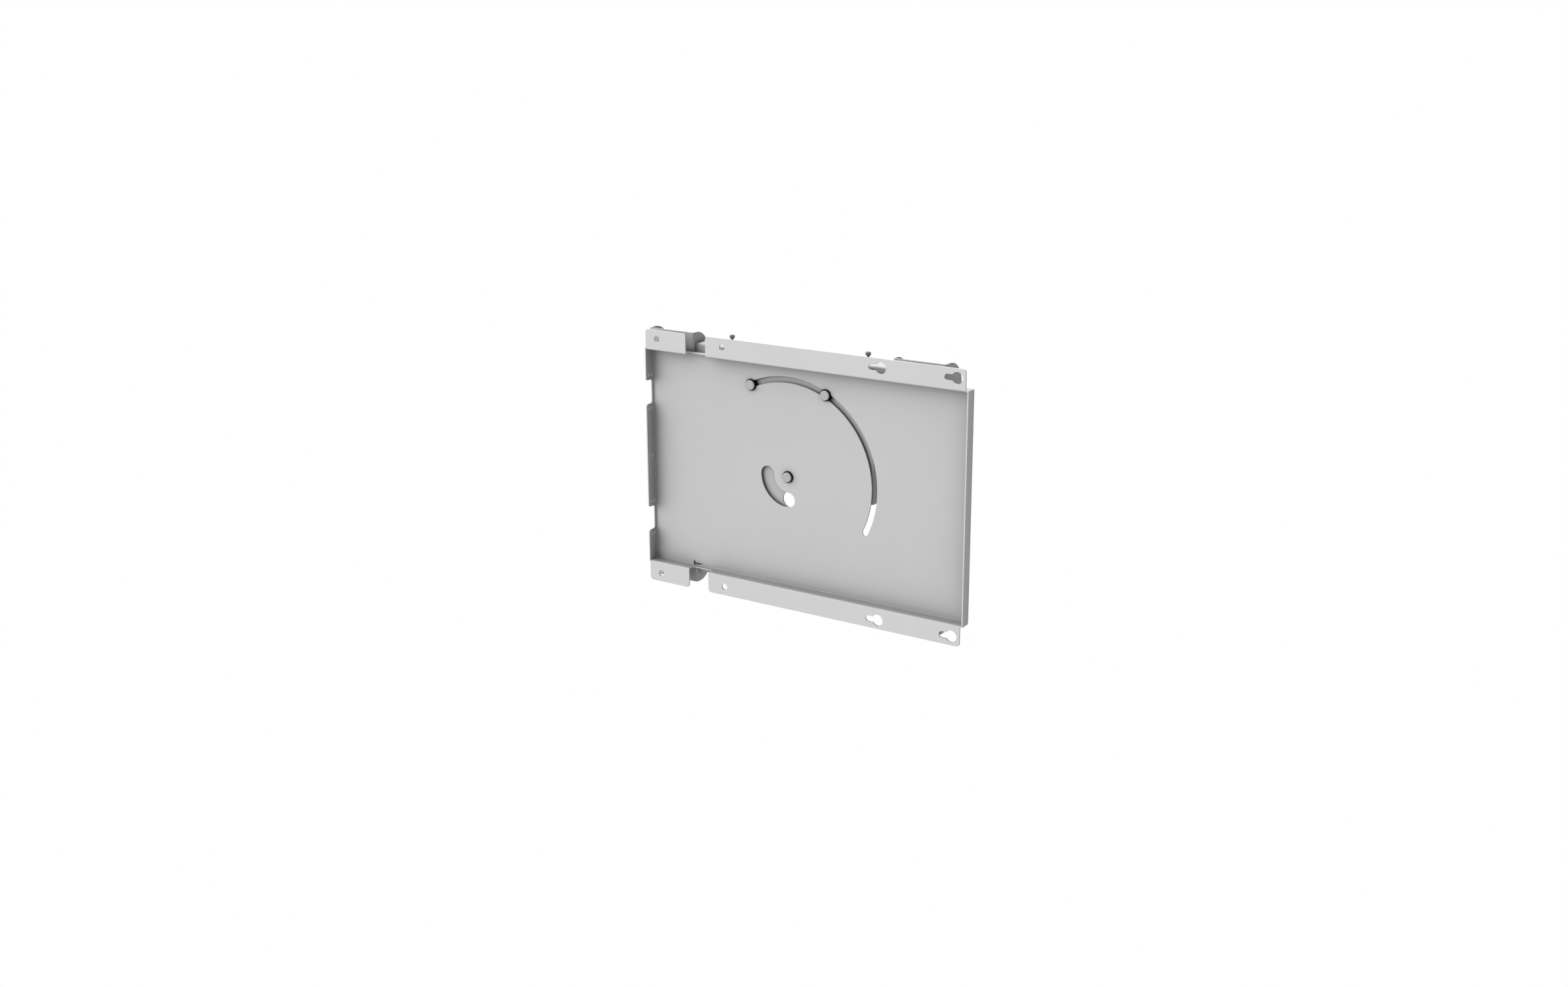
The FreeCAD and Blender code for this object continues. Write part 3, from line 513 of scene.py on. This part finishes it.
# Painted shade: the frame's darker grey and its darkened crevices; its cut edges are darker than its flats.
frame_coat = coat("frame_powder_coat_shaded", FRAME_SHADED_GREY, edge_gain=0.78, reach=0.009, depth=1.1, spread=1.0)
pivot_steel = turned_steel("pivot_turned_steel", 0.0, 0.0)
guide_steel = turned_steel("guide_turned_steel", guide_x, guide_z)
zinc = plated_steel(
    "zinc_plate", ZINC_DARK, ZINC_LIGHT, metallic=0.8, rough_low=0.32, rough_high=0.5, depth=0.6
)
# Painted shade: the deep crevice setting blackens the screws' necks under their heads.
black_steel = plated_steel(
    "blackened_steel", BLACKED_DARK, BLACKED_LIGHT, metallic=0.4, rough_low=0.38, rough_high=0.55, depth=4.0
)
black_nylon = nylon("moulded_nylon", NYLON_DARK, NYLON_LIGHT)

SLOT_MATERIALS = {
    "tray_coat": tray_coat,
    "frame_coat": frame_coat,
    "pin_steel": pivot_steel,
    "zinc_steel": zinc,
    "dark_steel": black_steel,
    "black_nylon": black_nylon,
}

for part in frame["record"]["subparts"]:
    slots = frame["nodes"][part["node"]].data.materials
    slots.clear()
    slots.append(SLOT_MATERIALS[part["material_slot"]])


# Pieces made here


def mesh_piece(name, parts, material, body):
    """A mesh piece that rides on a body, made of closed parts, smooth except at its sharp edges."""
    points = []
    faces = []
    for part_points, part_faces in parts:
        shift = len(points)
        points.extend(tuple(p) for p in part_points)
        faces.extend(tuple(i + shift for i in face) for face in part_faces)
    mesh = bpy.data.meshes.new(name)
    mesh.from_pydata(points, [], faces)
    mesh.materials.append(material)
    mesh.shade_smooth()
    mesh.set_sharp_from_angle(angle=math.radians(SHARP_FROM))
    piece = bpy.data.objects.new(name, mesh)
    scene.collection.objects.link(piece)
    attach(piece, body)
    return piece


def along(start, axis):
    """The mapping that stands a turned piece on a point along an axis."""
    turn = Vector(axis).to_track_quat("Z", "Y").to_matrix()
    return lambda u, v, h: Vector(start) + turn @ Vector((u, v, h))


def spin(rings, columns, to_space, hollow=False):
    """Points and faces of a turned piece, from rings of radius and height; a radius may vary by angle."""
    points = []
    for radius, height in rings:
        for column in range(columns):
            angle = 2 * math.pi * column / columns
            reach = radius(angle) if callable(radius) else radius
            points.append(to_space(reach * math.cos(angle), reach * math.sin(angle), height))
    faces = []
    rows = len(rings)
    for row in range(rows if hollow else rows - 1):
        low = row * columns
        high = (row + 1) % rows * columns
        for column in range(columns):
            following = (column + 1) % columns
            faces.append((low + column, low + following, high + following, high + column))
    if not hollow:
        faces.append(tuple(range(columns))[::-1])
        faces.append(tuple(range((rows - 1) * columns, rows * columns)))
    return points, faces


def hexagon_reach(flats, angle):
    """The distance from the middle of a hexagon to its side, with two corners along angle 0."""
    turn = angle % (math.pi / 3) - math.pi / 6
    return flats / 2 / math.cos(turn)


def thread_rings(radius, pitch, last):
    """The rings of a screw thread from its bevelled tip to a height where it runs out."""
    depth = THREAD_SHARE * pitch
    core = radius - TIP_BEVEL * depth
    step = pitch / THREAD_STEPS

    def reach_at(height):
        run_out = min(1.0, (last - height) / pitch)

        def reach(angle):
            wave = (height / pitch - angle / (2 * math.pi)) % 1.0
            groove = 1 - abs(2 * wave - 1)
            return min(radius - depth * groove * run_out, core + height)

        return reach

    rings = [(core, 0.0)]
    for i in range(1, int(last / step)):
        rings.append((reach_at(i * step), i * step))
    rings.append((radius, last))
    return rings


def jack_screw(node_name, way):
    """A cap screw with a knurled head and a hexagon socket, which points up or down."""
    low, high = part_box(node_name)
    middle = (low + high) / 2
    tip = low.z if way > 0 else high.z
    top = high.z - low.z
    seat = top - JACK_HEAD_HEIGHT
    shank = JACK_THREAD / 2
    head = (high.x - low.x) / 2
    knurl_root = head - KNURL_DEPTH * KNURL_ROOT
    step_in, step_down = CROWN_STEP

    def knurl(angle):
        return head - KNURL_DEPTH * (0.5 + 0.5 * math.cos(angle * KNURLS))

    def socket(angle):
        return hexagon_reach(SOCKET_FLATS, angle)

    rings = thread_rings(shank, JACK_PITCH, seat - JACK_NECK)
    rings += [
        (shank, seat),
        (head * JACK_SEAT, seat),
        (knurl_root, seat + JACK_SEAT_BEVEL),
        (knurl, seat + JACK_SEAT_BEVEL + KNURL_RUN_OUT),
        (knurl, top - CROWN_DROP - KNURL_RUN_OUT),
        (knurl_root, top - CROWN_DROP),
        (head - step_in, top - step_down),
        (head - CROWN_WIDTH, top),
        (SOCKET_FLATS * SOCKET_MOUTH, top),
        (socket, top - SOCKET_LEAD),
        (socket, top - SOCKET_DEPTH),
        (SOCKET_FLATS * SOCKET_FLOOR, top - SOCKET_DEPTH - SOCKET_CONE),
    ]
    turned = spin(rings, KNURLS * KNURL_COLUMNS, along((middle.x, middle.y, tip), (0, 0, way)))
    piece = mesh_piece(node_name + "_threaded", [turned], black_steel, node_name)
    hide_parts(node_name)


def headed_pin(x, z, front, seat, end, head, shank, pitch, threaded):
    """A turned pin along the wall axis, whose low head has a groove round its flat middle."""
    length = end - seat
    top = end - front
    rim = top - FACE_FALL
    groove = head * FACE_SHARE
    rings = thread_rings(shank, pitch, threaded)
    rings += [(shank, length), (head - PIN_SEAT_BEVEL, length), (head, length + PIN_SEAT_BEVEL)]
    for i in range(RIM_STEPS + 1):
        angle = i / RIM_STEPS * math.pi / 2
        inwards = RIM_RADIUS * (1 - math.cos(angle))
        down = RIM_RADIUS * (1 - math.sin(angle))
        rings.append((head - inwards, rim - down))
    rings += [
        (groove + GROOVE_WIDTH, top - GROOVE_DEPTH * GROOVE_LIP),
        (groove + GROOVE_WIDTH / 2, top - GROOVE_DEPTH),
        (groove, top),
        (head * FACE_HUB, top),
    ]
    return spin(rings, PIN_COLUMNS, along((x, end, z), (0, -1, 0)))


def hexagon_nut(centre, axis, flats, height, bore):
    """A nut with bevelled corners and a countersunk bore, which stands on a point along an axis."""
    crown = flats * NUT_CROWN
    mouth = bore + NUT_LEAD

    def outside(drop):
        return lambda angle: min(hexagon_reach(flats, angle), crown + drop * math.sqrt(3))

    drops = [flats * NUT_BEVEL_STEP * i for i in range(NUT_BEVEL_RINGS)]
    rings = [(mouth, 0.0)]
    rings += [(outside(drop), drop) for drop in drops]
    rings += [(outside(drop), height - drop) for drop in reversed(drops)]
    rings += [(mouth, height), (bore, height - NUT_LEAD), (bore, NUT_LEAD)]
    return spin(rings, NUT_COLUMNS, along(centre, axis), hollow=True)


def nut_piece(node_name, places, axis, flats, thread):
    """The finished nuts of one node, whose seats are the given points."""
    low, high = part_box(node_name)
    height = abs((high - low).dot(Vector(axis)))
    bore = thread / 2 + BORE_SLACK
    parts = [hexagon_nut(place, axis, flats, height, bore) for place in places]
    piece = mesh_piece(node_name + "_bevelled", parts, zinc, "hanging_frame")
    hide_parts(node_name)


def weld_bead(start, end, out_a, out_b):
    """A rippled fillet along a line, with its legs along two directions out of the corner."""
    start = Vector(start)
    run = Vector(end) - start
    out_a = Vector(out_a)
    out_b = Vector(out_b)
    if out_a.cross(out_b).dot(run) < 0:
        out_a, out_b = out_b, out_a
    rows = int(run.length / RIPPLE_PITCH * RIPPLE_STEPS)
    points = []
    for row in range(rows + 1):
        share = row / rows
        from_start = share * run.length
        taper = max(0.0, min(1.0, from_start / BEAD_LEG, (run.length - from_start) / BEAD_LEG))
        size = BEAD_LEG * (BEAD_END + (1 - BEAD_END) * math.sqrt(taper))
        centre = start + run * share
        points.append(tuple(centre - (out_a + out_b) * BEAD_ROOT))
        for i in range(BEAD_POINTS):
            turn = math.pi / 2 * i / (BEAD_POINTS - 1)
            trail = math.sin(2 * turn)
            ripple = math.sin(2 * math.pi * (from_start / RIPPLE_PITCH - RIPPLE_LAG * trail))
            hollow = BEAD_HOLLOW * (1 - abs(math.cos(2 * turn)))
            reach = size * (1 - hollow + RIPPLE_HEIGHT * ripple * trail)
            offset = out_a * (reach * math.cos(turn)) + out_b * (reach * math.sin(turn))
            points.append(tuple(centre + offset))
    ring = BEAD_POINTS + 1
    faces = []
    for row in range(rows):
        low = row * ring
        high = low + ring
        for i in range(ring):
            j = (i + 1) % ring
            faces.append((low + i, low + j, high + j, high + i))
    faces.append(tuple(range(ring))[::-1])
    faces.append(tuple(range(rows * ring, (rows + 1) * ring)))
    return points, faces


def frame_welds():
    """The beads that join the beams to the uprights, and the hook bar to the upper beam."""
    beam_low, beam_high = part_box("beam_upper")
    hook_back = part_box("hook_bar")[1].y
    inside = beam_low.y + FRAME_SHEET
    under = beam_high.z - FRAME_SHEET
    flange_end = beam_high.y - FLANGE_SHORT
    web_end = beam_low.z + WEB_SHORT
    beads = []
    for side in (-1, 1):
        end_x = side * beam_high.x
        inwards = (-side, 0, 0)
        for way in (-1, 1):
            corner = (end_x, inside, way * under)
            beads.append(weld_bead((end_x, inside, way * web_end), corner, inwards, (0, 1, 0)))
            beads.append(weld_bead(corner, (end_x, flange_end, way * under), inwards, (0, 0, -way)))
    for i in range(STITCHES):
        middle = (i - (STITCHES - 1) / 2) * STITCH_STEP
        start = (middle - STITCH_LENGTH / 2, hook_back, under)
        end = (middle + STITCH_LENGTH / 2, hook_back, under)
        beads.append(weld_bead(start, end, (0, 1, 0), (0, 0, -1)))
    mesh_piece("frame_weld_beads", beads, frame_coat, "hanging_frame")


def swivel_pins():
    """The turned swivel and guide pins."""
    front = pivot_low.y
    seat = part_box("pivot_bush")[0].y
    head = (pivot_high.x - pivot_low.x) / 2
    pivot = headed_pin(0, 0, front, seat, pivot_high.y, head, PIVOT_SHANK / 2, PIVOT_PITCH, PIVOT_THREADED)
    piece = mesh_piece("pivot_bolt_turned", [pivot], pivot_steel, "hanging_frame")
    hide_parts("pivot_bolt")
    thread = (GUIDE_SHANK / 2, GUIDE_PITCH, GUIDE_THREADED)
    sides = (-guide_x, guide_x)
    guides = [headed_pin(x, guide_z, front, seat, guide_high.y, head, *thread) for x in sides]
    piece = mesh_piece("guide_pins_turned", guides, guide_steel, "hanging_frame")
    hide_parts("guide_pins")


def all_nuts():
    """The nuts behind the pins, and those of the jack screws inside the beams' flanges."""
    screw_low, screw_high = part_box("levelling_screw_right")
    jack = (screw_low + screw_high) / 2
    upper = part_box("levelling_nuts")[1].z
    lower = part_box("securing_nuts")[0].z
    to_wall = (0, 1, 0)
    pivot_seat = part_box("pivot_nut")[0].y
    guide_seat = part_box("guide_nuts")[0].y
    guides = [(x, guide_seat, guide_z) for x in (-guide_x, guide_x)]
    nut_piece("pivot_nut", [(0, pivot_seat, 0)], to_wall, PIVOT_NUT_FLATS, PIVOT_SHANK)
    nut_piece("guide_nuts", guides, to_wall, GUIDE_NUT_FLATS, GUIDE_SHANK)
    for node_name, seat, way in (("levelling_nuts", upper, -1), ("securing_nuts", lower, 1)):
        seats = [(x, jack.y, seat) for x in (-jack.x, jack.x)]
        nut_piece(node_name, seats, (0, 0, way), JACK_NUT_FLATS, JACK_THREAD)


for side in ("left", "right"):
    jack_screw("levelling_screw_" + side, 1)
    jack_screw("securing_screw_" + side, -1)

swivel_pins()
all_nuts()
frame_welds()


# Stage, light and camera


def show_white(tree, seen, usual, white, output):
    """Joins plain white for the rays that see it, and the usual look for all others, to an output."""
    mix = node(tree, "ShaderNodeMixShader", Fac=seen)
    tree.links.new(usual, mix.inputs[1])
    tree.links.new(white, mix.inputs[2])
    tree.links.new(mix.outputs["Shader"], tree.nodes[output].inputs["Surface"])


def make_floor():
    """A wide pale floor below the mount that the camera sees as plain white."""
    mesh = bpy.data.meshes.new("floor")
    ways = ((-1, -1), (1, -1), (1, 1), (-1, 1))
    corners = [(x * FLOOR_HALF, y * FLOOR_HALF, FLOOR_LEVEL) for x, y in ways]
    mesh.from_pydata(corners, [], [(0, 1, 2, 3)])
    material, tree, shader = new_material("pale_floor")
    shader.inputs["Base Color"].default_value = (*grey(FLOOR_GREY), 1.0)
    shader.inputs["Roughness"].default_value = 0.9
    white = node(tree, "ShaderNodeEmission", Strength=1.0, Color=WHITE)
    seen = node(tree, "ShaderNodeLightPath").outputs["Is Camera Ray"]
    show_white(tree, seen, shader.outputs["BSDF"], white.outputs["Emission"], "Material Output")
    mesh.materials.append(material)
    floor = bpy.data.objects.new("floor", mesh)
    scene.collection.objects.link(floor)


def make_world(even, leaning, towards):
    """Soft light from all round that leans towards one side, shown as plain white to camera and gloss."""
    world = bpy.data.worlds.new("studio")
    scene.world = world
    world.use_nodes = True
    tree = world.node_tree
    soft = tree.nodes["Background"]
    soft.inputs["Color"].default_value = WHITE
    direction = node(tree, "ShaderNodeNewGeometry").outputs["Incoming"]
    lean = Vector(towards).normalized()
    facing = vector_maths(tree, "DOT_PRODUCT", direction, lean).outputs["Value"]
    glow = maths(tree, "MULTIPLY_ADD", facing, -leaning, even)
    tree.links.new(maths(tree, "MAXIMUM", glow, STUDIO_LEAST), soft.inputs["Strength"])
    white = node(tree, "ShaderNodeBackground", Strength=1.0, Color=WHITE)
    path = node(tree, "ShaderNodeLightPath").outputs
    seen = maths(tree, "MAXIMUM", path["Is Camera Ray"], path["Is Glossy Ray"])
    seen = maths(tree, "MAXIMUM", seen, path["Is Transmission Ray"])
    show_white(tree, seen, soft.outputs["Background"], white.outputs["Background"], "World Output")


def make_sun(name, towards_light, strength, spread):
    """A soft distant light that comes from the given direction."""
    light = bpy.data.lights.new(name, "SUN")
    light.energy = strength
    light.angle = math.radians(spread)
    lamp = bpy.data.objects.new(name, light)
    lamp.rotation_euler = Vector(towards_light).to_track_quat("Z", "Y").to_euler()
    scene.collection.objects.link(lamp)


def make_camera():
    """The camera at the photograph's place, turn and framing."""
    data = bpy.data.cameras.new("camera")
    data.lens = CAMERA_LENS
    data.sensor_width = CAMERA_SENSOR
    data.shift_x, data.shift_y = CAMERA_SHIFT
    data.clip_end = CAMERA_RANGE
    camera = bpy.data.objects.new("camera", data)
    scene.collection.objects.link(camera)
    turn = (
        Matrix.Rotation(math.radians(CAMERA_AZIMUTH), 4, "Z")
        @ Matrix.Rotation(math.radians(90 - CAMERA_DOWN), 4, "X")
        @ Matrix.Rotation(math.radians(CAMERA_ROLL), 4, "Z")
    )
    camera.matrix_world = Matrix.Translation(CAMERA_PLACE) @ turn
    scene.camera = camera


make_floor()
make_world(even=0.33, leaning=0.20, towards=(-0.75, -0.60, 0.15))
make_sun("key", towards_light=(-0.60, -0.66, 0.36), strength=2.28, spread=70)
make_sun("back", towards_light=(-0.30, 0.45, 0.85), strength=3.6, spread=40)
make_camera()
scene.view_settings.view_transform = "Standard"
